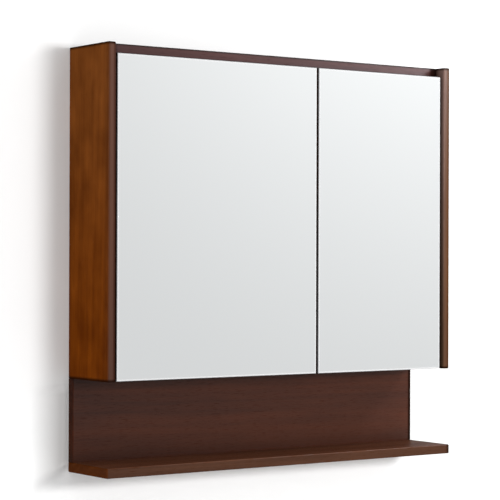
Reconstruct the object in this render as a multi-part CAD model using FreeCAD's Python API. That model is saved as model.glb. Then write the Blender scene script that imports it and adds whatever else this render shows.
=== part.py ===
import FreeCAD, Part
import math
import os

# Wall-hung mirror cabinet: a wooden carcass with two inset mirror doors and an open shelf below.
# Millimetres. +X is to the right seen from the front, +Y to the wall and +Z up.
# The origin lies on the wall, midway between the two hanging holes.

Vector = FreeCAD.Vector

# Carcass boards
width = 800.0
depth = 135.0
side_height = 602.0
side_t = 16.0
top_t = 18.0
bottom_t = 15.0
divider_t = 18.0
back_t = 5.0
front_round = 4.5       # rounding of the sides' outer front edges
inner_round = 2.5       # rounding of the sides' inner front edges, next to the doors
arris = 2.0             # rounding of the boards' other showing edges
soft_edge = 0.8         # rounding of the edges inside the cabinet
reveal = 4.5            # the sides stand this far proud of the mirrors
grip_height = 20.0      # finger room under the bottom panel, behind the doors' lower edges
groove_depth = 6.0
groove_play = 0.1       # play of the back panel against each wall of its groove
groove_end_play = 0.5   # play of the back panel at the bottom of its groove

# Hanging rail, screwed to the wall through two holes
rail_t = 15.0
rail_h = 60.0
hang_spacing = 500.0
hang_hole_r = 3.25
hang_access_r = 8.0     # holes in the back panel that let the wall screws' heads through

# Open shelf below, carried by a panel on the wall
shelf_drop = 170.0      # from the lower ends of the sides to the underside of the open shelf
lower_back_t = 15.0
lower_shelf_t = 18.0
tongue_play = 0.3       # play of the lower back panel's tongue between the sides
lower_screw_r = 2.5
lower_screw_len = 50.0
lower_screw_head_r = 4.8
lower_screw_head_t = 3.0
lower_screw_inset = 90.0    # from the shelf's end to its outer screw
lower_screw_count = 4

# Doors: mirror glass on a board
glass_t = 4.0
glass_bevel = 1.0
door_board_t = 15.0
side_gap = 5.8
top_gap = 1.0
meeting_gap = 5.0
meeting_x = 69.4        # middle of the gap between the doors
door_foot = 0.6         # the doors end this far above the lower ends of the sides
stop_gap = 2.0          # from the doors' backs to the top panel and divider
swing_play = 3.5        # between a door's turning rear edge and the bottom panel and shelves

# Bumpers on the divider's front edge
bumper_r = 2.8
bumper_play = 0.2
bumper_round = 1.0
bumper_inset = 40.0     # from the doors' upper and lower ends

# Dowels
dowel_r = 4.0
dowel_len = 30.0
dowel_in_face = 10.0    # depth in the face of the board that is met
dowel_fit = 0.05
dowel_end_play = 0.5
dowel_chamfer = 0.8
dowel_edge = 25.0       # from a board's front or back edge to its nearest dowel
tongue_dowel_pitch = 200.0

# Shelves on pins
inner_shelf_t = 15.0
shelf_play = 1.0        # play of a shelf at each end and behind
low_shelf_level = 176.0     # undersides of the shelves above the bottom panel
high_shelf_level = 359.0
shelf_pin_r = 2.5
shelf_pin_in = 7.5
shelf_pin_out = 8.0
shelf_pin_collar_r = 3.6
shelf_pin_collar_t = 0.8
shelf_pin_flat = 1.6    # height of the pin's flat seat above its axis
shelf_pin_inset = 16.0  # from the shelf's front and back edges
pin_fit = 0.05
hole_pitch = 32.0       # spare holes above and below each pin

# Hinges: a swan-neck arm turning on a pin in a round cup, two to a door
hinge_inset = 85.0      # from the door's ends to the middle of a hinge
cup_bore_r = 17.5
cup_edge = 4.0          # wood left between the bore and the door's edge
cup_depth = 13.3
cup_wall = 0.8
cup_fit = 0.05
flange_t = 1.0
flange_rim = 2.0        # how far the flange laps over the wood round the bore
ear_spacing = 45.0
ear_offset = 9.5        # ears lie this far towards the door's middle
ear_r = 5.5
hinge_pin_r = 1.25
hinge_pin_run = 0.05
hinge_pin_short = 0.1   # the pin's ends stay this far inside the cup's outer wall
pin_press = 0.01
pivot_u = 18.5          # from the side panel's inner face to the hinge pin
eye_r = 2.4
eye_gap = 0.3           # between the arm's eye and the floor of the cup
spring_t = 0.6          # leaf spring in the cup, which bears on the arm's eye
spring_w = 8.0
spring_bend = 1.5
spring_edge = 0.4       # between the leaf's foot and the cup's wall
spring_rise = 7.0
spring_tip = 3.2        # how far the free end leans back from the eye
spring_play = 0.1       # between the leaf and the eye
neck_t = 2.6
neck_w = 11.0
neck_bend = 5.0
neck_side_play = 2.1    # between the opened door's back and the stretch of neck that leaves the cup
neck_cross_play = 2.3   # between a door's turning rear edge and the stretch of neck that crosses over
arm_end = 62.0          # from the door's back to the rear end of the arm
arm_w = 15.0
channel_start = 22.0
cheek_t = 1.8
cheek_play = 0.3
cheek_foot = 0.7        # between the arm's cheeks and the plate's wings
plate_h = 9.2
plate_start = 20.0
plate_end = 60.0
wing_t = 2.5
wing_w = 14.0
wing_span = 48.0
wing_hole_spacing = 32.0
wing_place = 38.0       # from the door's back to the middle of the wings
wood_screw_r = 1.75
wood_screw_len = 13.0
wood_screw_head_r = 3.4
wood_screw_head_t = 1.8
clamp_place = 51.0      # clamping screw, from the door's back
clamp_r = 2.9
clamp_len = 6.0
clamp_head_r = 4.6
clamp_head_t = 2.4
clamp_slot = 5.0        # length that the arm can be shifted under the clamping screw
adjust_place = 29.0     # side adjusting screw, from the door's back
adjust_r = 2.0
adjust_head_r = 3.0
adjust_head_t = 1.6
screw_fit = 0.05

# Places that follow from the sizes
x_out = width / 2
x_in = x_out - side_t
y_front = -depth
y_mirror = y_front + reveal
y_board = y_mirror + glass_t
y_door_back = y_board + door_board_t
y_stop = y_door_back + stop_gap     # front edges of the top panel and divider
y_back_rear = -rail_t
y_back_face = y_back_rear - back_t
z_top_under = rail_h / 2
z_side_top = z_top_under + top_t
z_side_foot = z_side_top - side_height
z_bottom_under = z_side_foot + grip_height
z_bottom_top = z_bottom_under + bottom_t
z_shelf_under = z_side_foot - shelf_drop
z_shelf_top = z_shelf_under + lower_shelf_t
z_door_top = z_top_under - top_gap
z_door_foot = z_side_foot + door_foot
hinge_heights = {"upper": z_door_top - hinge_inset, "lower": z_door_foot + hinge_inset}
cup_u = side_gap + cup_edge + cup_bore_r
cup_r = cup_bore_r - cup_fit
pivot_v = -(cup_depth - cup_wall - eye_gap - eye_r)
swing_r = math.hypot(pivot_u - side_gap, pivot_v)   # from the hinge pin to the door's rear edge
y_inner = y_door_back + pivot_v + swing_r + swing_play
door_spans = {
    "left": (-x_in + side_gap, meeting_x - meeting_gap / 2),
    "right": (meeting_x + meeting_gap / 2, x_in - side_gap),
}
compartments = {
    "left": (-x_in, meeting_x - divider_t / 2),
    "right": (meeting_x + divider_t / 2, x_in),
}
parts = {}


def add(name, *solids):
    parts[name] = solids[0] if len(solids) == 1 else Part.makeCompound(list(solids))


def block(x0, x1, y0, y1, z0, z1):
    return Part.makeBox(x1 - x0, y1 - y0, z1 - z0, Vector(x0, y0, z0))


def rod(radius, start, direction, length):
    return Part.makeCylinder(radius, length, Vector(*start), Vector(*direction))


def rounded(shape, radius, keep):
    """Round the edges whose middle point passes the test keep."""
    edges = [edge for edge in shape.Edges if keep(edge.CenterOfMass)]
    return shape.makeFillet(radius, edges)


def rounded_board(x0, x1, y0, y1, z0, z1):
    """A board with every edge rounded but those of its rear face."""
    return rounded(block(x0, x1, y0, y1, z0, z1), arris, lambda middle: middle.y < y1 - arris)


def rounded_upright(x0, x1, y0, y1, z0, z1):
    """An upright board, its outer front edge well rounded, its inner one less and its ends softened."""
    board = block(x0, x1, y0, y1, z0, z1)
    centre = (z0 + z1) / 2
    inner, outer = sorted((x0, x1), key=abs)
    for x, radius in ((outer, front_round), (inner, inner_round)):
        board = rounded(
            board, radius,
            lambda middle: abs(middle.x - x) < arris and middle.y < y0 + arris and abs(middle.z - centre) < arris)
    return rounded(
        board, arris, lambda middle: abs(middle.z - centre) > z1 - centre - arris and middle.y < y1 - arris)


def rounded_front(x0, x1, y0, y1, z0, z1):
    """A board between two uprights, its upper and lower front edges softened."""
    board = block(x0, x1, y0, y1, z0, z1)
    centre = (x0 + x1) / 2
    return rounded(
        board, soft_edge, lambda middle: middle.y < y0 + soft_edge and abs(middle.x - centre) < soft_edge)


def holes_through(shape, holes):
    return shape.cut(Part.makeCompound(holes))


def dowel(joint, direction):
    """A dowel and its hole, from a point of the joint into the end grain along direction."""
    axis = Vector(*direction)
    start = Vector(*joint) - axis * dowel_in_face
    pin = Part.makeCylinder(dowel_r, dowel_len, start, axis)
    ends = [edge for edge in pin.Edges if edge.isClosed()]
    hole_start = start - axis * dowel_end_play
    hole = Part.makeCylinder(dowel_r + dowel_fit, dowel_len + 2 * dowel_end_play, hole_start, axis)
    return pin.makeChamfer(dowel_chamfer, ends), hole


def all_dowels():
    """Dowels of the top, bottom, divider, hanging rail and lower back panel."""
    spots = []
    top_mid = z_top_under + top_t / 2
    bottom_mid = z_bottom_under + bottom_t / 2
    for side in (-1, 1):
        for y in (y_stop + dowel_edge, y_stop / 2, -dowel_edge):
            spots.append(((side * x_in, y, top_mid), (-side, 0, 0)))
        for y in (y_inner + dowel_edge, y_back_face - dowel_edge):
            spots.append(((side * x_in, y, bottom_mid), (-side, 0, 0)))
        for z in (-rail_h / 4, rail_h / 4):
            spots.append(((side * x_in, -rail_t / 2, z), (-side, 0, 0)))
        spots.append(((side * (x_out - side_t / 2), -lower_back_t / 2, z_side_foot), (0, 0, -1)))
    for y in (y_inner + dowel_edge, y_back_face - dowel_edge):
        spots.append(((meeting_x, y, z_top_under), (0, 0, -1)))
        spots.append(((meeting_x, y, z_bottom_top), (0, 0, 1)))
    for step in (-1.5, -0.5, 0.5, 1.5):
        spots.append(((step * tongue_dowel_pitch, -lower_back_t / 2, z_bottom_under), (0, 0, -1)))
    return [dowel(joint, direction) for joint, direction in spots]


dowel_pairs = all_dowels()
dowel_holes = [hole for pin, hole in dowel_pairs]


def back_groove():
    """The space of the groove that holds the back panel, all round."""
    return block(
        -x_in - groove_depth, x_in + groove_depth,
        y_back_face - groove_play, y_back_rear + groove_play,
        z_bottom_top - groove_depth, z_top_under + groove_depth)


def shelf_heights():
    return [z_bottom_top + low_shelf_level, z_bottom_top + high_shelf_level]


def pin_rows():
    return (y_inner + shelf_pin_inset, y_back_face - shelf_play - shelf_pin_inset)


def pin_holes(x, direction):
    """Rows of holes for shelf pins in an upright board whose face is at x."""
    holes = []
    for z in shelf_heights():
        for spare in (-hole_pitch, 0, hole_pitch):
            for y in pin_rows():
                spot = (x, y, z - shelf_pin_flat + spare)
                holes.append(rod(shelf_pin_r + pin_fit, spot, (-direction, 0, 0), shelf_pin_in + pin_fit))
    return holes


def side_panels():
    for name, sign in (("left", -1), ("right", 1)):
        x0, x1 = sorted((sign * x_in, sign * x_out))
        panel = rounded_upright(x0, x1, y_front, 0, z_side_foot, z_side_top)
        holes = pin_holes(sign * x_in, -sign) + dowel_holes + [back_groove()]
        for z in hinge_heights.values():
            holes += [seat_hinge(hole, name, z) for hole in plate_pilot_holes()]
        add(name + "_side_panel", holes_through(panel, holes))


def top_panel():
    panel = rounded_front(-x_in, x_in, y_stop, 0, z_top_under, z_side_top)
    add("top_panel", holes_through(panel, dowel_holes + [back_groove()]))


def bottom_panel():
    panel = rounded_front(-x_in, x_in, y_inner, 0, z_bottom_under, z_bottom_top)
    add("bottom_panel", holes_through(panel, dowel_holes + [back_groove()]))


def centre_divider():
    x0, x1 = meeting_x - divider_t / 2, meeting_x + divider_t / 2
    panel = block(x0, x1, y_stop, y_back_face, z_bottom_top, z_top_under)
    holes = dowel_holes + pin_holes(x0, -1) + pin_holes(x1, 1)
    add("centre_divider", holes_through(panel, holes))


def back_panel():
    reach = groove_depth - groove_end_play
    panel = block(
        -x_in - reach, x_in + reach, y_back_face, y_back_rear, z_bottom_top - reach, z_top_under + reach)
    holes = [rod(hang_access_r, (x, y_back_face, 0), (0, 1, 0), back_t) for x in hang_places()]
    add("back_panel", holes_through(panel, holes))


def hang_places():
    return (-hang_spacing / 2, hang_spacing / 2)


def hanging_rail():
    rail = block(-x_in, x_in, y_back_rear, 0, -rail_h / 2, rail_h / 2)
    holes = [rod(hang_hole_r, (x, y_back_rear, 0), (0, 1, 0), rail_t) for x in hang_places()]
    add("hanging_rail", holes_through(rail, holes + dowel_holes))


def lower_screw_places():
    first = x_out - lower_screw_inset
    pitch = 2 * first / (lower_screw_count - 1)
    return [-first + pitch * number for number in range(lower_screw_count)]


def lower_back_panel():
    """Full width below the sides, with a tongue that rises between them to the bottom panel."""
    panel = block(-x_out, x_out, -lower_back_t, 0, z_shelf_top, z_side_foot)
    tongue_x = x_in - tongue_play
    tongue = block(-tongue_x, tongue_x, -lower_back_t, 0, z_side_foot, z_bottom_under)
    holes = dowel_holes + [lower_screw(x, screw_fit) for x in lower_screw_places()]
    add("lower_back_panel", holes_through(panel.fuse(tongue).removeSplitter(), holes))


def lower_screw(x, play):
    """A screw from below, its head let in flush with the shelf's underside."""
    y = -lower_back_t / 2
    shank = rod(lower_screw_r + play, (x, y, z_shelf_under), (0, 0, 1), lower_screw_len + play)
    head = rod(lower_screw_head_r + play, (x, y, z_shelf_under), (0, 0, 1), lower_screw_head_t + play)
    return shank.fuse(head).removeSplitter()


def lower_shelf():
    shelf = rounded_board(-x_out, x_out, y_front, 0, z_shelf_under, z_shelf_top)
    add("lower_shelf", holes_through(shelf, [lower_screw(x, screw_fit) for x in lower_screw_places()]))
    add("lower_shelf_screws", *[lower_screw(x, 0) for x in lower_screw_places()])


def inner_shelves():
    y_rear = y_back_face - shelf_play
    for side, (x0, x1) in compartments.items():
        for level, z in zip(("lower", "upper"), shelf_heights()):
            shelf = rounded_front(x0 + shelf_play, x1 - shelf_play, y_inner, y_rear, z, z + inner_shelf_t)
            add(side + "_" + level + "_shelf", shelf)


def shelf_pin(x, y, z, direction):
    """A pin with a collar against the board and a flat seat under the shelf."""
    axis = (direction, 0, 0)
    body = rod(shelf_pin_r, (x - direction * shelf_pin_in, y, z), axis, shelf_pin_in + shelf_pin_out)
    collar = rod(shelf_pin_collar_r, (x, y, z), axis, shelf_pin_collar_t)
    over = block(
        min(x, x + direction * shelf_pin_out), max(x, x + direction * shelf_pin_out),
        y - shelf_pin_collar_r, y + shelf_pin_collar_r, z + shelf_pin_flat, z + shelf_pin_collar_r)
    return body.fuse(collar).cut(over).removeSplitter()


def shelf_pins():
    pins = []
    for x0, x1 in compartments.values():
        for z in shelf_heights():
            for y in pin_rows():
                pins.append(shelf_pin(x0, y, z - shelf_pin_flat, 1))
                pins.append(shelf_pin(x1, y, z - shelf_pin_flat, -1))
    add("shelf_pins", *pins)


def seat_hinge(shape, side, z):
    """Move a piece from the hinge's own frame to its place.

    In that frame x runs from the side panel's inner face, y from the door's back and z from
    the hinge's middle. The right-hand hinges are the left ones turned over.
    """
    placed = shape.translated(Vector(-x_in, y_door_back, z))
    return placed if side == "left" else placed.mirror(Vector(), Vector(1, 0, 0))


def bent_strip(points, bend, thickness, strip_w):
    """A strip of metal along a line of points, each corner rounded by the radius bend."""
    points = [Vector(u, v, 0) for u, v in points]
    edges = []
    start = points[0]
    for corner, after in zip(points[1:-1], points[2:]):
        back = (start - corner).normalize()
        onward = (after - corner).normalize()
        half_angle = back.getAngle(onward) / 2
        before = corner + back * (bend / math.tan(half_angle))
        behind = corner + onward * (bend / math.tan(half_angle))
        middle = corner + (back + onward).normalize() * (bend / math.sin(half_angle) - bend)
        edges.append(Part.LineSegment(start, before).toShape())
        edges.append(Part.Arc(before, middle, behind).toShape())
        start = behind
    edges.append(Part.LineSegment(start, points[-1]).toShape())
    outline = Part.Wire(edges).makeOffset2D(thickness / 2)
    return Part.Face(outline).extrude(Vector(0, 0, strip_w)).translated(Vector(0, 0, -strip_w / 2))


def swan_neck():
    """From the pin along the cup's floor, out of the cup, across and back to the plate."""
    out_u = pivot_u - pivot_v + flange_t + neck_side_play + neck_t / 2
    cross_v = pivot_v + swing_r + neck_cross_play + neck_t / 2
    arm_u = plate_h + neck_t / 2
    points = [(pivot_u, pivot_v), (out_u, pivot_v), (out_u, cross_v), (arm_u, cross_v), (arm_u, arm_end)]
    return bent_strip(points, neck_bend, neck_t, neck_w)


def leaf_spring():
    """A leaf whose foot lies on the cup's floor and whose rise bears on the arm's eye."""
    foot_v = -(cup_depth - cup_wall) + spring_t / 2
    wall_u = cup_u - math.sqrt((cup_r - cup_wall) ** 2 - (spring_w / 2) ** 2)
    foot_u = wall_u + spring_edge + spring_t / 2
    rise_u = pivot_u - eye_r - spring_play - spring_t / 2
    bend_v = foot_v + spring_rise
    points = [
        (foot_u, foot_v), (rise_u, foot_v),
        (rise_u, bend_v), (rise_u - spring_tip, bend_v + spring_tip)]
    return bent_strip(points, spring_bend, spring_t, spring_w)


def hinge_arm():
    neck = swan_neck()
    eye = rod(eye_r, (pivot_u, pivot_v, -neck_w / 2), (0, 0, 1), neck_w)
    web_top = plate_h + neck_t
    foot = wing_t + cheek_foot
    channel = block(foot, web_top, channel_start, arm_end, -arm_w / 2, arm_w / 2)
    inside = arm_w / 2 - cheek_t
    hollow = block(foot, plate_h, channel_start, arm_end, -inside, inside)
    arm = neck.fuse([eye, channel.cut(hollow)]).removeSplitter()
    bore = rod(hinge_pin_r + hinge_pin_run, (pivot_u, pivot_v, -neck_w), (0, 0, 1), 2 * neck_w)
    slot_r = clamp_r + screw_fit
    slot_v = (clamp_place - clamp_slot / 2, clamp_place + clamp_slot / 2)
    slot = block(plate_h, web_top, *slot_v, -slot_r, slot_r)
    slot_ends = [rod(slot_r, (plate_h, v, 0), (1, 0, 0), neck_t) for v in slot_v]
    adjust = rod(adjust_r + screw_fit, (plate_h, adjust_place, 0), (1, 0, 0), neck_t)
    return holes_through(arm, [bore, adjust, slot.fuse(slot_ends)]).removeSplitter()


def wing_screw_places():
    return [(wing_place, side * wing_hole_spacing / 2) for side in (-1, 1)]


def hinge_plate():
    half = arm_w / 2 - cheek_t - cheek_play
    bar = block(0, plate_h, plate_start, plate_end, -half, half)
    wings = block(0, wing_t, wing_place - wing_w / 2, wing_place + wing_w / 2, -wing_span / 2, wing_span / 2)
    wings = wings.makeFillet(
        wing_w / 2 - soft_edge, [edge for edge in wings.Edges if abs(edge.tangentAt(0).x) > 0.9])
    plate = bar.fuse(wings).removeSplitter()
    holes = [rod(wood_screw_r + screw_fit, (0, v, z), (1, 0, 0), wing_t) for v, z in wing_screw_places()]
    holes.append(rod(clamp_r + screw_fit, (plate_h - clamp_len, clamp_place, 0), (1, 0, 0), clamp_len))
    return holes_through(plate, holes)


def plate_screw(v, z):
    """A wood screw through a wing of the plate into the side panel."""
    shank = rod(wood_screw_r, (wing_t - wood_screw_len, v, z), (1, 0, 0), wood_screw_len)
    head = rod(wood_screw_head_r, (wing_t, v, z), (1, 0, 0), wood_screw_head_t)
    return shank.fuse(head).removeSplitter()


def plate_pilot_holes():
    length = wood_screw_len - wing_t + screw_fit
    return [rod(wood_screw_r + screw_fit, (-length, v, z), (1, 0, 0), length) for v, z in wing_screw_places()]


def clamp_screw():
    web_top = plate_h + neck_t
    shank_len = clamp_len - screw_fit + neck_t
    shank = rod(clamp_r, (web_top - shank_len, clamp_place, 0), (1, 0, 0), shank_len)
    head = rod(clamp_head_r, (web_top, clamp_place, 0), (1, 0, 0), clamp_head_t)
    return shank.fuse(head).removeSplitter()


def adjust_screw():
    shank = rod(adjust_r, (plate_h, adjust_place, 0), (1, 0, 0), neck_t)
    head = rod(adjust_head_r, (plate_h + neck_t, adjust_place, 0), (1, 0, 0), adjust_head_t)
    return shank.fuse(head).removeSplitter()


def ear_places():
    return [(cup_u + ear_offset, side * ear_spacing / 2) for side in (-1, 1)]


def hinge_cup():
    """A pressed cup with a flange and two screw ears on the back of the door."""
    back = (0, -1, 0)
    cup = rod(cup_r, (cup_u, 0, 0), back, cup_depth)
    flange = rod(cup_bore_r + flange_rim, (cup_u, flange_t, 0), back, flange_t)
    ears = [rod(ear_r, (u, flange_t, z), back, flange_t) for u, z in ear_places()]
    strap_u = cup_u + ear_offset
    strap = block(strap_u - ear_r, strap_u + ear_r, 0, flange_t, -ear_spacing / 2, ear_spacing / 2)
    hollow = rod(cup_r - cup_wall, (cup_u, flange_t, 0), back, flange_t + cup_depth - cup_wall)
    pin_hole = rod(hinge_pin_r + pin_press, (pivot_u, pivot_v, -cup_bore_r), (0, 0, 1), 2 * cup_bore_r)
    holes = [rod(wood_screw_r + screw_fit, (u, flange_t, z), back, flange_t) for u, z in ear_places()]
    return holes_through(cup.fuse([flange, strap] + ears), [hollow, pin_hole] + holes).removeSplitter()


def hinge_pin():
    half = math.sqrt(cup_r ** 2 - (cup_u - pivot_u + hinge_pin_r) ** 2) - hinge_pin_short
    return rod(hinge_pin_r, (pivot_u, pivot_v, -half), (0, 0, 1), 2 * half)


def cup_screw(u, z, play):
    """A wood screw through an ear of the cup into the door."""
    length = wood_screw_len + play
    shank = rod(wood_screw_r + play, (u, flange_t, z), (0, -1, 0), length)
    head = rod(wood_screw_head_r, (u, flange_t, z), (0, 1, 0), wood_screw_head_t)
    return shank.fuse(head).removeSplitter()


def hinges():
    plate_screws = []
    arm_screws = []
    for side in ("left", "right"):
        pins = []
        springs = []
        cup_screws = []
        for level, z in hinge_heights.items():
            name = side + "_" + level + "_hinge_"
            add(name + "plate", seat_hinge(hinge_plate(), side, z))
            add(name + "arm", seat_hinge(hinge_arm(), side, z))
            add(name + "cup", seat_hinge(hinge_cup(), side, z))
            pins.append(seat_hinge(hinge_pin(), side, z))
            springs.append(seat_hinge(leaf_spring(), side, z))
            plate_screws += [seat_hinge(plate_screw(*place), side, z) for place in wing_screw_places()]
            arm_screws += [seat_hinge(screw, side, z) for screw in (clamp_screw(), adjust_screw())]
            cup_screws += [seat_hinge(cup_screw(*place, 0), side, z) for place in ear_places()]
        add(side + "_hinge_pins", *pins)
        add(side + "_hinge_springs", *springs)
        add(side + "_cup_screws", *cup_screws)
    add("hinge_plate_screws", *plate_screws)
    add("hinge_arm_screws", *arm_screws)


def doors():
    for side, (x0, x1) in door_spans.items():
        glass = block(x0, x1, y_mirror, y_board, z_door_foot, z_door_top)
        front = [edge for edge in glass.Edges if edge.CenterOfMass.y < y_mirror + glass_bevel]
        add(side + "_mirror", glass.makeChamfer(glass_bevel, front))
        board = block(x0, x1, y_board, y_door_back, z_door_foot, z_door_top)
        holes = []
        for z in hinge_heights.values():
            bore = rod(cup_bore_r, (cup_u, 0, 0), (0, -1, 0), cup_depth)
            pilots = [cup_screw(*place, screw_fit) for place in ear_places()]
            holes += [seat_hinge(hole, side, z) for hole in [bore] + pilots]
        add(side + "_door_board", holes_through(board, holes))


def door_bumpers():
    """Soft pads on the divider's edge, two behind each door."""
    lap = (divider_t - meeting_gap) / 4
    y_pad = y_door_back + bumper_play
    bumpers = []
    for side in (-1, 1):
        x = meeting_x + side * (meeting_gap / 2 + lap)
        for z in (z_door_top - bumper_inset, z_door_foot + bumper_inset):
            pad = rod(bumper_r, (x, y_stop, z), (0, -1, 0), y_stop - y_pad)
            bumpers.append(rounded(pad, bumper_round, lambda middle: middle.y < y_pad + bumper_round / 2))
    add("door_bumpers", *bumpers)


side_panels()
top_panel()
bottom_panel()
centre_divider()
back_panel()
hanging_rail()
lower_back_panel()
lower_shelf()
inner_shelves()
shelf_pins()
add("carcass_dowels", *[pin for pin, hole in dowel_pairs])
hinges()
doors()
door_bumpers()

os.makedirs("parts", exist_ok=True)
for node, shape in parts.items():
    shape.exportStep("parts/" + node + ".step")
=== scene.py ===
import math

import bpy
from mathutils import Matrix, Vector


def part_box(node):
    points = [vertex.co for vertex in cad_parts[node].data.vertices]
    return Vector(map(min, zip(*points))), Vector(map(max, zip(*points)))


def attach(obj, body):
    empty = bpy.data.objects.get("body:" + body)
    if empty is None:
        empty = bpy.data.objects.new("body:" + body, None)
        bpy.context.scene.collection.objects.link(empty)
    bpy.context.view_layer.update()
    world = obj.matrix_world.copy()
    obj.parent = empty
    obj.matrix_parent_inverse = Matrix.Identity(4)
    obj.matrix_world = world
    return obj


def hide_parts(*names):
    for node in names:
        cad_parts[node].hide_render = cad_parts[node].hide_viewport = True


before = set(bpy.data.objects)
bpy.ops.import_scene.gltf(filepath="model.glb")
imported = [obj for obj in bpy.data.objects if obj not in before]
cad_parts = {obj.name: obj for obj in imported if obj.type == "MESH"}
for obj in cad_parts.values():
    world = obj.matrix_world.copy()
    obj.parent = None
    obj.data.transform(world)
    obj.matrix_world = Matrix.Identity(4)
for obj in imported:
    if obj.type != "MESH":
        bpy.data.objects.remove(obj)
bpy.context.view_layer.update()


# Side panels: two upright boards of solid wood with rounded front edges, stained and lacquered. The other
# boards are dowelled between them. The outer faces are a figured brown, painted lighter than the edges and
# greyer towards the top as painted light and reflection; the edges and inner faces are darker, as painted
# shade, and the right board's inner edge is painted paler towards the top, a painted highlight.
class Field:
    """A shader socket that varies over a surface, with arithmetic."""

    def __init__(self, socket):
        self.socket = socket

    def node(self, kind, settings, inputs, output=0):
        """Add a node: its settings first, then the values or links of its sockets."""
        tree = self.socket.id_data
        made = tree.nodes.new("ShaderNode" + kind)
        for name, value in settings.items():
            setattr(made, name, value)
        for name, value in inputs.items():
            if isinstance(value, Field):
                tree.links.new(value.socket, made.inputs[name])
            else:
                made.inputs[name].default_value = value
        return Field(made.outputs[output])

    def math(self, operation, first, second):
        return self.node("Math", {"operation": operation}, {0: first, 1: second})

    def __add__(self, other):
        return self.math("ADD", self, other)

    def __radd__(self, other):
        return self.math("ADD", other, self)

    def __sub__(self, other):
        return self.math("SUBTRACT", self, other)

    def __rsub__(self, other):
        return self.math("SUBTRACT", other, self)

    def __mul__(self, other):
        return self.math("MULTIPLY", self, other)

    def __rmul__(self, other):
        return self.math("MULTIPLY", other, self)

    def least(self, other):
        return self.math("MINIMUM", self, other)

    def most(self, other):
        return self.math("MAXIMUM", self, other)

    def ramp(self, low, high):
        """A smooth step from 0 at low to 1 at high."""
        return self.node(
            "MapRange", {"interpolation_type": "SMOOTHSTEP"},
            {"Value": self, "From Min": low, "From Max": high})

    def slope(self, low, high, start=0.0):
        """A straight rise from start at low to 1 at high, level on both sides of it."""
        return self.node("MapRange", {}, {"Value": self, "From Min": low, "From Max": high, "To Min": start})

    def blend(self, first, second):
        """A colour between two others, this value being the share of the second."""
        return self.node("Mix", {"data_type": "RGBA"}, {0: self, 6: first, 7: second}, output=2)

    def scaled(self, factors):
        """A vector with each axis times its own factor."""
        return self.node("VectorMath", {"operation": "MULTIPLY"}, {0: self, 1: factors})

    def dot(self, vector):
        """How far a vector reaches along another one."""
        return self.node("VectorMath", {"operation": "DOT_PRODUCT"}, {0: self, 1: vector}, output=1)

    def noise(self, per_metre, detail):
        """Clouds on a vector, with so many to the metre along each axis."""
        return self.node("TexNoise", {}, {"Vector": self.scaled(per_metre), "Scale": 1.0, "Detail": detail})

    def axes(self):
        """The three coordinates of a vector."""
        split = self.node("SeparateXYZ", {}, {0: self}).socket.node
        return [Field(socket) for socket in split.outputs]


def new_material(name):
    """A material, its shader's sockets and the object's own coordinates."""
    material = bpy.data.materials.new(name)
    material.use_nodes = True
    tree = material.node_tree
    place = Field(tree.nodes.new("ShaderNodeTexCoord").outputs["Object"])
    return material, tree.nodes["Principled BSDF"].inputs, place


def feed(inputs, **links):
    """Link fields to a shader's sockets, or set its constants; base_color stands for Base Color."""
    for name, value in links.items():
        socket = inputs[name.replace("_", " ").title().replace("Ior", "IOR")]
        if isinstance(value, Field):
            value.socket.id_data.links.new(value.socket, socket)
        else:
            socket.default_value = value


def dress(node, material):
    """Give a CAD node its finish."""
    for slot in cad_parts[node].material_slots:
        slot.material = material


def edge_distance(place, low, high):
    """Distance from a point of a board's surface to the board's nearest edge."""
    spans = zip(place.axes(), low, high)
    x, y, z = [(point - start).least(end - point) for point, start, end in spans]
    return x.least(y).most(x.most(y).least(z))


# Every stain is a pair, the dark tone and the light tone of the same wood.
deep_stain = ((0.044, 0.0096, 0.0016, 1), (0.112, 0.0300, 0.0060, 1))
# The dark that boards blend in at their ends, edges and corners: painted shade.
painted_shade_tone = (0.010, 0.0035, 0.0020, 1)


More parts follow.
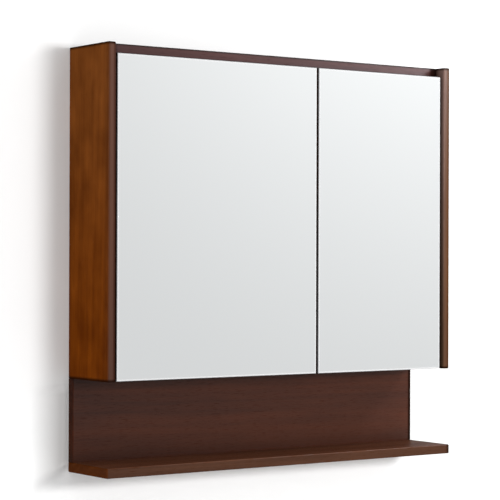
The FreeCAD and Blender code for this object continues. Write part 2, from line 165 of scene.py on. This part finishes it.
class Board:
    """A board of stained wood, with rings round its pith, fibres along the grain, pores and clouds.

    Its tone runs from a stain's dark tone at 0 to the light one at 1, and drifts by so much per metre.
    """

    grain_turns = {"z": (0.012, 0.017, 0), "x": (0, math.pi / 2 + 0.014, 0.012)}
    ring_form = {"Scale": 22, "Distortion": 6.0, "Detail": 2.5, "Detail Scale": 0.9}
    ring_stretch = (1, 1, 0.09)
    cloud_share, ring_share, fibre_share, rub_share, pore_share = 1.05, 0.12, 0.52, 0.10, 0.18
    pore_level, rub_level = (0.60, 0.70), (0.38, 0.62)
    pore_dulling, rub_dulling = 0.35, 0.2
    arris_band = (0.0008, 0.0042)
    face_band = (0.0004, 0.0018)
    front_edge_band = (0.0010, 0.0040)
    cut_end_band, cut_end_sheen = (0.0004, 0.0024), 0.3
    full_darkening = 0.85

    def __init__(self, node, along, pith, stain=deep_stain, sheen=0.5, drift=(0, 0, 0)):
        self.node, self.along, self.sheen = node, along, sheen
        self.low, self.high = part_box(node)
        self.material, self.inputs, place = new_material("wood_" + node)
        self.x, self.y, self.z = place.axes()
        self.grain = place.node(
            "Mapping", {"vector_type": "TEXTURE"},
            {"Vector": place, "Location": pith, "Rotation": self.grain_turns[along]})
        cloud = self.grain.noise(per_metre=(21, 21, 2.4), detail=3)
        self.ring = self.grain.node(
            "TexWave", {"wave_type": "RINGS", "rings_direction": "Z"},
            {"Vector": self.grain.scaled(self.ring_stretch), **self.ring_form}, output=1)
        self.fibre = self.grain.noise(per_metre=(380, 380, 7), detail=3)
        self.pore = self.grain.noise(per_metre=(1700, 1700, 55), detail=1).ramp(*self.pore_level)
        rub = 1 - edge_distance(place, self.low, self.high).ramp(*self.arris_band)
        rub = rub * self.grain.noise(per_metre=(60, 60, 60), detail=2).ramp(*self.rub_level)
        tone = (cloud - 0.5) * self.cloud_share + (self.ring - 0.5) * self.ring_share
        tone = tone + (self.fibre - 0.5) * self.fibre_share + 0.5
        tone = tone + rub * self.rub_share - self.pore * self.pore_share
        self.tone = tone + place.dot(drift) - (self.low + self.high).dot(Vector(drift)) / 2
        self.colour = self.tone.blend(*stain)
        self.lacquer = sheen - self.pore * self.pore_dulling - rub * self.rub_dulling

    def to_end(self, axis):
        """Distance to the board's nearer end along x or z."""
        point, start, end = [getattr(part, axis) for part in (self, self.low, self.high)]
        return (point - start).least(end - point)

    def dull_faces(self, face_sheen):
        """Leave less lacquer on the faces behind the front edge."""
        behind = (self.y - self.low.y).ramp(*self.front_edge_band)
        self.lacquer = self.lacquer - behind * (self.sheen - face_sheen)

    def recolour_face(self, distance, stain):
        """Give one face, from which the distance is taken, a colour of its own."""
        self.colour = distance.ramp(*self.face_band).blend(self.tone.blend(*stain), self.colour)

    def darken_near(self, distance, band, most=full_darkening):
        """Darken towards the painted shade tone at a distance below the band: painted shade."""
        share = most - distance.ramp(*band) * most
        self.colour = share.blend(self.colour, painted_shade_tone)
        return share

    def darken_and_dull_near(self, distance, band):
        """Darken as painted shade, and thin the lacquer there."""
        self.lacquer = self.lacquer * (1 - self.darken_near(distance, band))

    def finish(self):
        """Leave the lacquer thin on the cut ends, and put the material on the board."""
        past_end = self.to_end(self.along).ramp(*self.cut_end_band)
        relief = self.fibre * 0.5 + self.ring * 0.15 - self.pore * 0.6
        feed(
            self.inputs,
            base_color=self.colour,
            roughness=0.46 + (0.5 - self.fibre) * 0.14 + self.pore * 0.12,
            coat_weight=self.lacquer * (self.cut_end_sheen + past_end * (1 - self.cut_end_sheen)),
            coat_roughness=0.38,
            specular_ior_level=0.0,
            normal=relief.node("Bump", {}, {"Strength": 0.22, "Distance": 0.0003, "Height": relief}))
        dress(self.node, self.material)


# The outer faces take a stain much lighter than the front edges' deep stain: painted light on the outer
# faces.
brown_stain = ((0.122, 0.0225, 0.0004, 1), (0.296, 0.0680, 0.0030, 1))
# Towards the top the outer faces blend into a greyer stain: a painted reflection.
painted_sheen_stain = ((0.120, 0.0290, 0.0035, 1), (0.292, 0.0850, 0.0150, 1))
# The darker stain of the sides' inner faces and of the darkened outer edges: painted shade.
painted_shade_stain = ((0.024, 0.0074, 0.0042, 1), (0.062, 0.0200, 0.0110, 1))
# The right side's front edge is lighter and greyer than the left one's deep stain: painted light and
# reflection.
lit_edge_stain = ((0.064, 0.0235, 0.0069, 1), (0.136, 0.0505, 0.0152, 1))
# The right board's inner arc is painted lighter, more so towards the top: a painted highlight.
painted_light_foot_stain = ((0.062, 0.0320, 0.0180, 1), (0.129, 0.0680, 0.0380, 1))
painted_light_head_stain = ((0.150, 0.0910, 0.0750, 1), (0.310, 0.1920, 0.1600, 1))
end_band = (0.0018, 0.0068)
# The sides grow lighter upwards: painted light.
side_light_drift = (0, 0, 0.45)


def finish_side(board, outer_x, outer_arc, inner_arc, inner_stains, rim=0.0):
    """Finish a side's outer face, front edge and inner face, by the depth from the outer face.

    The front edge shines between its two arcs, and rim is the share of painted shade on the outer one.
    """
    depth = board.x.node("Math", {"operation": "ABSOLUTE"}, {0: board.x - outer_x})
    behind = board.y - board.low.y
    height = board.z.ramp(board.low.z, board.high.z)
    shade = board.tone.blend(*painted_shade_stain)

    figure_share = 1.2
    figured = board.tone + (board.grain.noise(per_metre=(24, 24, 14), detail=2) - 0.5) * figure_share
    brown = height.blend(figured.blend(*brown_stain), figured.blend(*painted_sheen_stain))
    # The outer face darkens towards the front arris and towards the wall: painted shade.
    front_band, front_shade = (0.004, 0.020), 0.22
    wall_band, foot_shade, head_shade = (0.001, 0.010), 0.40, 0.10
    near_front = (1 - behind.ramp(*front_band)) * front_shade
    near_wall = 1 - (board.high.y - board.y).ramp(*wall_band)
    near_wall = near_wall * (foot_shade - height * (foot_shade - head_shade))
    outside = near_front.most(near_wall).blend(brown, shade)

    # The inner face and inner arc are painted shade; on the right board the part near the front is a painted
    # highlight.
    foot, head = [board.tone.blend(*stain) for stain in inner_stains]
    lip = height.blend(foot, head)
    lip_band = (0.012, 0.030)
    inside = behind.ramp(*lip_band).blend(lip, shade)
    middle_band = (0.006, 0.010)
    faces = depth.ramp(*middle_band).blend(outside, inside)

    rim_band = (0.0035, 0.0065)
    edge = (rim - depth.ramp(*rim_band) * rim).blend(board.colour, painted_shade_tone)
    round_band, corner_band = (0.0015, 0.0048), (-0.0010, 0.0035)
    front = (1 - behind.ramp(*round_band)) * depth.ramp(*corner_band)
    inner = depth.ramp(*inner_arc)
    board.colour = front.blend(faces, inner.blend(edge, lip))
    face_sheen = 0.03
    board.lacquer = face_sheen + front * board.sheen * depth.ramp(*outer_arc) * (1 - inner)
    board.darken_and_dull_near(board.to_end("z"), end_band)
    board.finish()


left_side = Board("left_side_panel", "z", (-0.46, -0.03, 0.35), sheen=0.92, drift=side_light_drift)
finish_side(
    left_side, left_side.low.x, outer_arc=(-0.0010, 0.0030), inner_arc=(0.0085, 0.0150),
    inner_stains=(painted_shade_stain, painted_shade_stain))
right_side = Board("right_side_panel", "z", (0.47, -0.10, -0.8), lit_edge_stain, sheen=0.70, drift=side_light_drift)
finish_side(
    right_side, right_side.high.x, outer_arc=(0.0030, 0.0115), inner_arc=(0.0125, 0.0150),
    inner_stains=(painted_light_foot_stain, painted_light_head_stain), rim=0.4)


# Top panel, bottom panel and centre divider: boards of the same wood, dowelled between the sides.
# The top's front edge is the strip that shows above the doors; the bottom and the divider are
# hidden until a door opens.
# The strip's stain is darker for its recess and greyer on the front: painted shade and painted reflection.
strip_stain = ((0.038, 0.0140, 0.0140, 1), (0.104, 0.0370, 0.0310, 1))
top = Board("top_panel", "x", (0.2, -0.05, 0.13), strip_stain, sheen=0.55)
top.dull_faces(0.10)
# Its top and bottom edges are darker: painted shade.
top.darken_near(top.to_end("z"), band=(0.0008, 0.0045))
# Its ends are darker where the sides throw their shadow: painted shadow.
top.darken_and_dull_near(top.to_end("x"), band=(0.010, 0.020))
top.finish()


def plain_board(node, along, pith, **stain_and_sheen):
    """A board with the same finish on all its faces, darker at its ends as painted shade."""
    board = Board(node, along, pith, **stain_and_sheen)
    board.darken_and_dull_near(board.to_end(along), end_band)
    board.finish()


plain_board("bottom_panel", "x", (-0.7, -0.09, -0.62))
plain_board("centre_divider", "z", (0.16, -0.04, 0.9))


# Dowels: turned pins of plain beech, glued into drilled holes in the ends of the boards. They hold the
# carcass together and aren't seen once it is built.
beech = ((0.36, 0.20, 0.09, 1), (0.56, 0.36, 0.19, 1))
plain_board("carcass_dowels", "x", (0.1, 0.3, 0.2), stain=beech, sheen=0.0)


# Back panel and hanging rail: a stained plywood sheet in grooves all round, and behind it the
# rail whose two holes take the screws in the wall.
plywood_stain = ((0.11, 0.036, 0.010, 1), (0.24, 0.090, 0.030, 1))
plain_board("back_panel", "z", (0.3, 0.05, 0.2), stain=plywood_stain, sheen=0.3)
plain_board("hanging_rail", "x", (0.5, 0.05, 0.02), sheen=0.3)


# Lower back panel and open shelf: a wide board against the wall and the shelf that it carries,
# as deep as the cabinet, with all its showing edges rounded. The shelf's top and left end are painted
# lighter, as painted light and reflection.
# Darker than the other boards: painted shade under the cabinet.
panel_stain = ((0.030, 0.0062, 0.0018, 1), (0.088, 0.0200, 0.0055, 1))
# Its drift makes it lighter towards the right and darker towards the top: painted light and shade.
lower_back = Board(
    "lower_back_panel", "x", (0.6, 0.05, -0.70), panel_stain, sheen=0.65, drift=(0.6, 0, -2.5))
# The right end is darker: painted shade.
lower_back.darken_and_dull_near(lower_back.high.x - lower_back.x, band=(0.0050, 0.0080))
# Towards the shelf it is darker: painted shade in the corner.
lower_back.darken_near(lower_back.z - lower_back.low.z, band=(0.002, 0.040), most=0.44)
lower_back.finish()

shelf_stain = ((0.0390, 0.0122, 0.0046, 1), (0.0990, 0.0380, 0.0172, 1))
# The top face's stain is lighter and greyer, a painted reflection; the left end's is lighter, painted light.
shelf_top_stain = ((0.0600, 0.0182, 0.0076, 1), (0.1520, 0.0570, 0.0290, 1))
shelf_end_stain = ((0.064, 0.0140, 0.0022, 1), (0.160, 0.0430, 0.0082, 1))
# The shelf turns lighter towards the right: painted light.
shelf = Board("lower_shelf", "x", (-0.3, -0.10, -0.80), shelf_stain, sheen=0.43, drift=(0.25, 0, 0))
shelf.dull_faces(0.22)
shelf.recolour_face(shelf.high.z - shelf.z, shelf_top_stain)
shelf.recolour_face(shelf.x - shelf.low.x, shelf_end_stain)
# Its right end is darker: painted shade.
shelf.darken_and_dull_near(shelf.high.x - shelf.x, band=(0.0010, 0.0110))
shelf.finish()


# Screws of the open shelf: four zinc-plated steel screws with cross recesses. They are driven up through
# the shelf into the lower back panel, with their heads let in flush.
def select_faces(piece, test):
    """Leave a piece in edit mode with only the faces selected that pass the test."""
    bpy.ops.object.mode_set(mode="EDIT")
    bpy.ops.mesh.select_mode(type="FACE")
    bpy.ops.mesh.select_all(action="DESELECT")
    bpy.ops.object.mode_set(mode="OBJECT")
    for face in piece.data.polygons:
        face.select = test(face)
    bpy.ops.object.mode_set(mode="EDIT")


upright = 0.9


def looks_up(face):
    return face.normal.z > upright


def looks_down(face):
    return face.normal.z < -upright


def looks_sideways(face):
    return abs(face.normal.z) < 1 - upright


def cross_cutter(head_thickness, reach):
    """A tapering cross that reaches through most of the head's thickness."""
    bar = 0.36 * reach
    recess_depth = 0.7 * head_thickness
    taper = 0.5
    bpy.ops.object.select_all(action="DESELECT")
    bpy.ops.mesh.primitive_cube_add(size=bar, location=(0, 0, head_thickness))
    cutter = bpy.context.object
    select_faces(cutter, looks_sideways)
    bpy.ops.mesh.extrude_faces_move(TRANSFORM_OT_shrink_fatten={"value": reach - bar / 2})
    select_faces(cutter, looks_down)
    bpy.ops.transform.translate(value=(0, 0, bar / 2 - recess_depth))
    bpy.ops.transform.resize(value=(taper, taper, 1))
    select_faces(cutter, looks_up)
    bpy.ops.transform.translate(value=(0, 0, head_thickness))
    bpy.ops.object.mode_set(mode="OBJECT")
    return cutter


def turned_blank(radius, length):
    """A round bar that stands on the origin, selected and active."""
    bpy.ops.object.select_all(action="DESELECT")
    bpy.ops.mesh.primitive_cylinder_add(vertices=32, radius=radius, depth=length, location=(0, 0, length / 2))
    bpy.ops.object.transform_apply(location=True)
    return bpy.context.object


def screw_master(head_radius, length, head_thickness, crown, shank_radius):
    """A cross-recess screw standing on its point, its head's underside at the origin."""
    shank_length = length - head_thickness
    point_length = 1.5 * shank_radius
    point_taper = 0.3
    cross_reach = 0.58 * head_radius
    smooth_angle = math.radians(35)
    screw = turned_blank(head_radius, head_thickness)
    select_faces(screw, looks_up)
    bpy.ops.mesh.bevel(offset=crown, segments=4, affect="EDGES")
    select_faces(screw, looks_down)
    bpy.ops.mesh.inset(thickness=head_radius - shank_radius)
    bpy.ops.mesh.extrude_region_move(TRANSFORM_OT_translate={"value": (0, 0, point_length - shank_length)})
    bpy.ops.mesh.extrude_region_move(TRANSFORM_OT_translate={"value": (0, 0, -point_length)})
    bpy.ops.transform.resize(value=(point_taper, point_taper, 1))
    bpy.ops.object.mode_set(mode="OBJECT")
    cutter = cross_cutter(head_thickness, cross_reach)
    bpy.ops.object.select_all(action="DESELECT")
    screw.select_set(True)
    bpy.context.view_layer.objects.active = screw
    recess = screw.modifiers.new("recess", "BOOLEAN")
    recess.operation = "DIFFERENCE"
    recess.solver = "EXACT"
    recess.object = cutter
    bpy.ops.object.modifier_apply(modifier=recess.name)
    bpy.data.objects.remove(cutter)
    bpy.ops.object.shade_smooth_by_angle(angle=smooth_angle)
    return screw


def solids_of(node):
    """Lowest and highest corner of each separate solid in a CAD node."""
    bpy.ops.object.select_all(action="DESELECT")
    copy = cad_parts[node].copy()
    copy.data = copy.data.copy()
    bpy.context.scene.collection.objects.link(copy)
    copy.select_set(True)
    bpy.context.view_layer.objects.active = copy
    bpy.ops.object.mode_set(mode="EDIT")
    bpy.ops.mesh.select_all(action="SELECT")
    bpy.ops.mesh.remove_doubles(threshold=1e-6)
    bpy.ops.mesh.separate(type="LOOSE")
    bpy.ops.object.mode_set(mode="OBJECT")
    corners = []
    for solid in list(bpy.context.selected_objects):
        points = [vertex.co for vertex in solid.data.vertices]
        low = Vector([min(point[axis] for point in points) for axis in range(3)])
        high = Vector([max(point[axis] for point in points) for axis in range(3)])
        corners.append((low, high))
        bpy.data.objects.remove(solid)
    return sorted(corners, key=lambda pair: tuple(round(value, 4) for value in pair[0]))


def seat(master, corners, axis, head_thickness):
    """A master, the spot where its head meets what it holds, and its axis.

    The spot is the end of the solid's box less the head.
    """
    low, high = corners
    axis = Vector(axis)
    reach = abs((high - low).dot(axis)) / 2
    return master, (low + high) / 2 + axis * (reach - head_thickness), axis


def place_copies(name, seats, body, node, material):
    """Copies of masters, each at its seat with a turn of its own, joined as one piece."""
    turn_apart = 0.7
    copies = []
    for number, (master, spot, axis) in enumerate(seats):
        copy = master.copy()
        copy.data = master.data.copy()
        bpy.context.scene.collection.objects.link(copy)
        stand = Vector((0, 0, 1)).rotation_difference(axis).to_matrix().to_4x4()
        turn = Matrix.Rotation(turn_apart * number, 4, "Z")
        copy.data.transform(Matrix.Translation(spot) @ stand @ turn)
        copies.append(copy)
    bpy.ops.object.select_all(action="DESELECT")
    for copy in copies:
        copy.select_set(True)
    bpy.context.view_layer.objects.active = copies[0]
    bpy.ops.object.join()
    piece = bpy.context.object
    piece.name = name
    piece.data.materials.clear()
    piece.data.materials.append(material)
    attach(piece, body)
    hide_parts(node)


def plated_metal(name, tint, roughness, scratches_per_metre):
    """Plated steel: a faint cloudiness in the plating and fine rubbed scratches."""
    material, inputs, place = new_material(name)
    cloud = place.noise(per_metre=(90, 90, 90), detail=3)
    scratch = place.noise(scratches_per_metre, detail=2)
    dull_share = 0.72
    dull = tuple(dull_share * channel for channel in tint)
    feed(
        inputs,
        base_color=cloud.ramp(0.3, 0.7).blend(dull + (1,), tint + (1,)),
        roughness=roughness + (cloud - 0.5) * 0.18 + (scratch - 0.5) * 0.10,
        metallic=1.0,
        normal=place.node("Bump", {}, {"Strength": 0.08, "Distance": 0.0001, "Height": scratch}))
    return material


zinc = plated_metal("zinc_plate", (0.66, 0.67, 0.68), roughness=0.30, scratches_per_metre=(900, 900, 900))
shelf_head_thickness, shelf_crown, shelf_shank_radius = 0.0030, 0.0005, 0.0025
shelf_screws = solids_of("lower_shelf_screws")
size = shelf_screws[0][1] - shelf_screws[0][0]
shelf_master = screw_master(size.x / 2, size.z, shelf_head_thickness, shelf_crown, shelf_shank_radius)
down = (0, 0, -1)
place_copies(
    "open_shelf_screws",
    [seat(shelf_master, corners, down, shelf_head_thickness) for corners in shelf_screws],
    "carcass", "lower_shelf_screws", zinc)
bpy.data.objects.remove(shelf_master)


# Inner shelves: four loose boards of the same wood, each on four nickel-plated pins that sit in
# drilled holes of the sides and the divider.
shelf_piths = {
    "left_lower_shelf": (-0.40, -0.06, -0.45),
    "left_upper_shelf": (-0.09, -0.06, -0.15),
    "right_lower_shelf": (0.22, -0.06, -0.45),
    "right_upper_shelf": (0.53, -0.06, -0.15)}
for node, pith in shelf_piths.items():
    plain_board(node, "x", pith)
nickel = plated_metal(
    "nickel_plate", (0.66, 0.64, 0.60), roughness=0.26, scratches_per_metre=(140, 140, 2600))
dress("shelf_pins", nickel)


# Hinge plates and arms: pressed steel, nickel plated. Each plate is screwed to a side panel and
# each arm is clamped on its plate, with a second screw that shifts it sideways.
for side in ("left", "right"):
    for level in ("upper", "lower"):
        dress(side + "_" + level + "_hinge_plate", nickel)
        dress(side + "_" + level + "_hinge_arm", nickel)


def inward(corners):
    """From the side panel on which a piece sits towards the middle of the cabinet."""
    return (1, 0, 0) if corners[0].x < 0 else (-1, 0, 0)


wood_head_thickness, wood_crown, wood_shank_radius = 0.0018, 0.0010, 0.00175
plate_screws = solids_of("hinge_plate_screws")
size = plate_screws[0][1] - plate_screws[0][0]
wood_master = screw_master(size.y / 2, size.x, wood_head_thickness, wood_crown, wood_shank_radius)
place_copies(
    "plate_screws",
    [seat(wood_master, corners, inward(corners), wood_head_thickness) for corners in plate_screws],
    "carcass", "hinge_plate_screws", zinc)

clamp_head_thickness, clamp_crown, clamp_shank_radius = 0.0024, 0.0008, 0.0029
adjust_head_thickness, adjust_crown, adjust_shank_radius = 0.0016, 0.0004, 0.0020
arm_screws = solids_of("hinge_arm_screws")
sizes = [high - low for low, high in arm_screws]
clamp_size = max(sizes, key=lambda size: size.y)
adjust_size = min(sizes, key=lambda size: size.y)
clamp_master = screw_master(
    clamp_size.y / 2, clamp_size.x, clamp_head_thickness, clamp_crown, clamp_shank_radius)
adjust_master = screw_master(
    adjust_size.y / 2, adjust_size.x, adjust_head_thickness, adjust_crown, adjust_shank_radius)
middle_width = (clamp_size.y + adjust_size.y) / 2
seats = []
for corners, size in zip(arm_screws, sizes):
    if size.y > middle_width:
        seats.append(seat(clamp_master, corners, inward(corners), clamp_head_thickness))
    else:
        seats.append(seat(adjust_master, corners, inward(corners), adjust_head_thickness))
place_copies("arm_screws", seats, "carcass", "hinge_arm_screws", zinc)
bpy.data.objects.remove(clamp_master)
bpy.data.objects.remove(adjust_master)


# Door boards: dark-stained boards that carry the mirrors and swing on the hinges. They are bored at the
# back for the hinge cups.
board_stain = ((0.045, 0.012, 0.003, 1), (0.120, 0.038, 0.011, 1))
for node, pith in (("left_door_board", (-0.2, 0.02, 0.6)), ("right_door_board", (0.3, 0.01, -0.5))):
    plain_board(node, "z", pith, stain=board_stain, sheen=0.35)


# Hinge cups with their pins and leaf springs: pressed cups let into the doors' backs and held by
# two screws in their ears. The pin carries the arm's eye and the spring bears on it.
into_cabinet = (0, 1, 0)
for side in ("left", "right"):
    for piece in ("upper_hinge_cup", "lower_hinge_cup", "hinge_pins", "hinge_springs"):
        dress(side + "_" + piece, nickel)
    cup_screws = solids_of(side + "_cup_screws")
    place_copies(
        side + "_ear_screws",
        [seat(wood_master, corners, into_cabinet, wood_head_thickness) for corners in cup_screws],
        side + "_door", side + "_cup_screws", zinc)
bpy.data.objects.remove(wood_master)


# Mirrors: 4 mm float glass silvered on its back, with a narrow ground bevel all round, glued to
# the door boards.
glass_bevel = 0.001
bevel_step = (0.9 * glass_bevel, 1.1 * glass_bevel)
rim_width = 0.0040
silver_tone = (0.915, 0.925, 0.925, 1)
rim_tone = (0.76, 0.76, 0.77, 1)
bevel_tone = (0.50, 0.50, 0.51, 1)
edge_tone = (0.075, 0.080, 0.080, 1)
rim_roughness, silver_roughness, wipe_roughness = 0.12, 0.015, 0.012
for node in ("left_mirror", "right_mirror"):
    material, inputs, place = new_material("silvered_" + node)
    low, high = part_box(node)
    x, y, z = place.axes()
    from_rim = (x - low.x).least(high.x - x).least((z - low.z).least(high.z - z))
    silver = from_rim.ramp(glass_bevel, rim_width)
    flat = from_rim.ramp(*bevel_step)
    ground = (y - low.y).ramp(*bevel_step)
    border = flat.blend(ground.blend(bevel_tone, edge_tone), rim_tone)
    wipe = place.noise(per_metre=(7, 7, 3), detail=4).ramp(0.45, 0.75)
    feed(
        inputs,
        base_color=silver.blend(border, silver_tone),
        metallic=silver,
        roughness=rim_roughness - silver * (rim_roughness - silver_roughness) + wipe * wipe_roughness)
    dress(node, material)


# Bumpers: four domed pads of clear soft plastic, stuck on the divider's front edge. The doors close
# on them.
pads = solids_of("door_bumpers")
size = pads[0][1] - pads[0][0]
dome = 0.6 * size.y
pad_smooth_angle = math.radians(40)
pad_master = turned_blank(size.x / 2, size.y)
select_faces(pad_master, looks_up)
bpy.ops.mesh.bevel(offset=dome, segments=6, affect="EDGES")
bpy.ops.object.mode_set(mode="OBJECT")
bpy.ops.object.shade_smooth_by_angle(angle=pad_smooth_angle)
pad_tones = ((0.70, 0.71, 0.68, 1), (0.86, 0.87, 0.85, 1))
clear_pad, inputs, place = new_material("clear_pad")
feed(
    inputs,
    base_color=place.noise(per_metre=(500, 500, 500), detail=2).blend(*pad_tones),
    roughness=place.noise(per_metre=(900, 900, 900), detail=2) * 0.2 + 0.22)
forward = (0, -1, 0)
place_copies(
    "soft_bumpers",
    [seat(pad_master, corners, forward, size.y) for corners in pads],
    "carcass", "door_bumpers", clear_pad)
bpy.data.objects.remove(pad_master)


# Wall and floor: the white painted wall on which the cabinet hangs, and the pale floor of the room well
# below it, both clear from behind. The wall takes the cabinet's shadow and throws no light back, and its
# paint is greyed beside the thin lower panel, to carry the shadow on down past the box.
def plane(name, place, turn):
    """A wide flat sheet that belongs to the room."""
    bpy.ops.object.select_all(action="DESELECT")
    bpy.ops.mesh.primitive_plane_add(size=12.0, location=place, rotation=turn)
    sheet = bpy.context.object
    sheet.name = name
    return sheet


def one_sided(material, place):
    """Make a material clear from behind."""
    tree = material.node_tree
    behind = place.node("NewGeometry", {}, {}, output="Backfacing")
    clear = place.node("BsdfTransparent", {}, {})
    surface = Field(tree.nodes["Principled BSDF"].outputs[0])
    shown = place.node("MixShader", {}, {0: behind, 1: surface, 2: clear})
    tree.links.new(shown.socket, tree.nodes["Material Output"].inputs["Surface"])


wall_gap = 0.0005
wall = plane("wall", (0, wall_gap, 0), (math.pi / 2, 0, 0))
wall.visible_diffuse = False
wall.visible_transmission = False
wall.visible_shadow = False
paint, inputs, place = new_material("wall_paint")
across, upwards = place.axes()[:2]
box_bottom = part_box("left_side_panel")[0].z
shelf_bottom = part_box("lower_shelf")[0].z
panel_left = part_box("lower_back_panel")[0].x
shade_outer = (panel_left - 0.078, panel_left - 0.0165)
shade_inner = (panel_left - 0.0085, panel_left + 0.0010)
under_box = (box_bottom - 0.031, box_bottom - 0.005)
beside_shelf = (shelf_bottom - 0.008, shelf_bottom + 0.028)
shelf_lean = 0.55
shade_share = 0.56
shade = across.slope(*shade_outer) * (1 - across.ramp(*shade_inner))
shade = shade * (1 - upwards.ramp(*under_box))
shade = shade * (upwards + (panel_left - across) * shelf_lean).ramp(*beside_shelf)
white_tones = ((0.93, 0.93, 0.93, 1), (0.95, 0.95, 0.95, 1))
shade_tone = (0.030, 0.010, 0, 1)
white_paint = place.noise(per_metre=(40, 40, 40), detail=3).blend(*white_tones)
feed(
    inputs,
    base_color=(shade * shade_share).blend(white_paint, shade_tone),
    roughness=0.9,
    specular_ior_level=0.0,
    emission_color=(1, 1, 1, 1),
    emission_strength=0.07)
one_sided(paint, place)
wall.data.materials.append(paint)

floor_level = -1.9
floor = plane("floor", (0, 0, floor_level), (0, 0, 0))
floor_tones = ((0.90, 0.90, 0.895, 1), (0.94, 0.94, 0.935, 1))
pale_floor, inputs, place = new_material("pale_floor")
feed(
    inputs,
    base_color=place.noise(per_metre=(3, 3, 3), detail=3).blend(*floor_tones),
    roughness=0.7)
one_sided(pale_floor, place)
floor.data.materials.append(pale_floor)


# Light: a wide soft lamp ahead that nothing mirrors, and at the right a small lamp with a second one in
# the same place that only glossy faces show. The white room lights evenly, and polished pieces see it
# brightest ahead and in a glow at the right.
middle = Vector((0, -0.07, -0.30))


def direction(azimuth, elevation):
    """Unit vector to the right of straight ahead of the cabinet and up, in degrees."""
    turn, rise = math.radians(azimuth), math.radians(elevation)
    return Vector((math.sin(turn) * math.cos(rise), -math.cos(turn) * math.cos(rise), math.sin(rise)))


def soft_lamp(name, place, width, height, power):
    """An oval lamp that faces the middle of the cabinet."""
    lamp = bpy.data.lights.new(name, "AREA")
    lamp.shape = "ELLIPSE"
    lamp.size = width
    lamp.size_y = height
    lamp.energy = power
    holder = bpy.data.objects.new(name, lamp)
    bpy.context.scene.collection.objects.link(holder)
    holder.location = place
    holder.rotation_euler = (middle - place).to_track_quat("-Z", "Y").to_euler()
    return holder


front_distance = 3.5
front_spot = middle + direction(15.5, 4.6) * front_distance
right_spot = Vector((1.37, -0.90, 0.41))
front_lamp = soft_lamp("front_lamp", front_spot, width=1.4, height=0.5, power=64)
front_lamp.visible_glossy = False
soft_lamp("right_lamp", right_spot, width=0.4, height=0.4, power=8)
sheen_lamp = soft_lamp("sheen_lamp", right_spot, width=0.4, height=0.4, power=14)
sheen_lamp.visible_diffuse = False
sheen_lamp.data.color = (1.0, 0.87, 0.97)

world = bpy.data.worlds.new("room")
bpy.context.scene.world = world
world.use_nodes = True
tree = world.node_tree
tree.nodes.clear()
ray = Field(tree.nodes.new("ShaderNodeTexCoord").outputs["Generated"])


def degrees_off(azimuth, elevation):
    """How far a ray points away from a direction."""
    facing = ray.dot(direction(azimuth, elevation))
    return ray.node("Math", {"operation": "ARCCOSINE"}, {0: facing}) * math.degrees(1)


def backdrop(tint, strength):
    """Light that comes from the room all round."""
    return ray.node("Background", {}, {"Color": tint, "Strength": strength})


glow_degrees, front_degrees, floor_heights = (24, 11), (100, 60), (-0.32, -0.07)
floor_share, room_share, glow_share, fill_share = 0.75, 0.73, 0.36, 0.60
glow_falloff = 1.6
front = degrees_off(-10, 0).slope(*front_degrees)
above = ray.axes()[2].slope(*floor_heights, start=floor_share)
glow = degrees_off(46, 16).slope(*glow_degrees)
level = front * above * room_share + glow.math("POWER", glow, glow_falloff) * glow_share
paths = tree.nodes.new("ShaderNodeLightPath").outputs
seen = Field(paths["Is Camera Ray"])
polished = Field(paths["Is Glossy Ray"]).most(Field(paths["Is Transmission Ray"]))
white = (1, 1, 1, 1)
cool_white = (0.985, 0.995, 1, 1)
lit = ray.node("MixShader", {}, {0: polished, 1: backdrop(white, fill_share), 2: backdrop(cool_white, level)})
lit = ray.node("MixShader", {}, {0: seen, 1: lit, 2: backdrop(white, 1.0)})
output = tree.nodes.new("ShaderNodeOutputWorld")
tree.links.new(lit.socket, output.inputs["Surface"])


# Camera: where the photo was taken from, well to the left of the cabinet and a little below its
# middle, with a long lens.
frame_px = 500
focal_px = 1908.189
stand = Vector((-2.153134, -3.012783, -0.333425))
yaw, pitch, roll = 0.621461, 0.004079, 0.003148
ahead = Vector((math.sin(yaw) * math.cos(pitch), math.cos(yaw) * math.cos(pitch), math.sin(pitch)))
right = Vector((math.cos(yaw), -math.sin(yaw), 0))
up = right.cross(ahead)
rolled_right = math.cos(roll) * right + math.sin(roll) * up
rolled_up = math.cos(roll) * up - math.sin(roll) * right
lens = bpy.data.cameras.new("camera")
lens.sensor_width = 36
lens.lens = focal_px / frame_px * lens.sensor_width
camera = bpy.data.objects.new("camera", lens)
bpy.context.scene.collection.objects.link(camera)
turn = Matrix((rolled_right, rolled_up, -ahead)).transposed().to_4x4()
camera.matrix_world = Matrix.Translation(stand) @ turn
bpy.context.scene.camera = camera
bpy.context.scene.view_settings.view_transform = "Standard"
